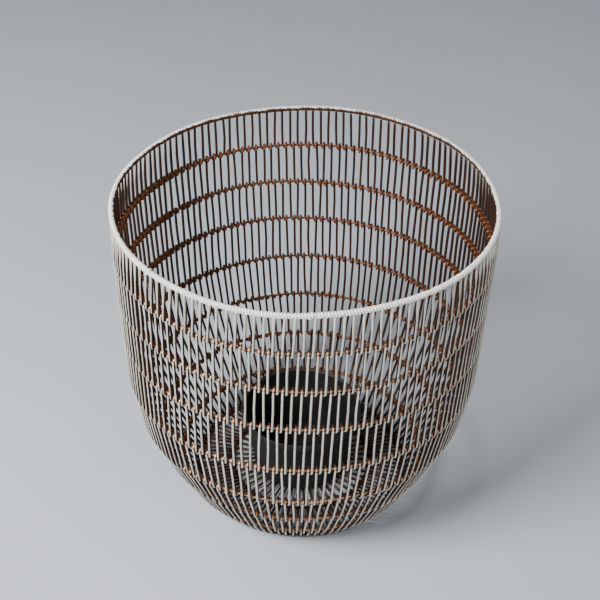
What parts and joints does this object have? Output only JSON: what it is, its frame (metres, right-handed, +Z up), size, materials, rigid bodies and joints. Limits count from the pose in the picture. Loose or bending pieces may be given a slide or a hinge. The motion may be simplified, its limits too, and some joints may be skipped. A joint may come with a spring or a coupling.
{
  "type": "wire basket planter",
  "caption": "Round open basket planter of upright wires on horizontal hoops with a bound rim, rounded lower part, wire floor and a lift-out inner pot.",
  "frame": {"origin": "centre of the foot ring, on the ground", "axes": "+Z up along the basket's axis; the basket is round, so X and Y are free, with -Y taken as the front"},
  "size_m": [0.4399, 0.44, 0.408],
  "materials": {
    "upright_wire": "antique copper-brown brass wire, whitewashed on its outer side",
    "hoop_rod": "antique copper-brown brass rod with traces of whitewash outside",
    "binding_wire": "whitewashed brass wire, close wound",
    "inner_pot": "moulded matt black plastic"
  },
  "bodies": {
    "basket": {"rim_rod": "hoop_rod", "rim_binding": "binding_wire", "hoop_1": "hoop_rod", "hoop_2": "hoop_rod", "hoop_3": "hoop_rod", "hoop_4": "hoop_rod", "hoop_5": "hoop_rod", "hoop_6": "hoop_rod", "hoop_7": "hoop_rod", "foot_ring": "hoop_rod", "wires_row_1": "upright_wire", "wires_row_2": "upright_wire", "wires_row_3": "upright_wire", "wires_row_4": "upright_wire", "wires_row_5": "upright_wire", "wires_row_6": "upright_wire", "wires_row_7": "upright_wire", "wires_row_8": "upright_wire", "floor_hoop_outer": "hoop_rod", "floor_hoop_inner": "hoop_rod", "floor_hub": "hoop_rod", "floor_wires_outer": "upright_wire", "floor_wires_middle": "upright_wire", "floor_wires_inner": "upright_wire"},
    "inner_pot": {"inner_pot": "inner_pot"}
  },
  "joints": [
    {"name": "inner_pot_lift", "type": "slide", "parent": "basket", "child": "inner_pot", "axis": [0, 0, 1], "range_m": [0, 0.44]}
  ]
}
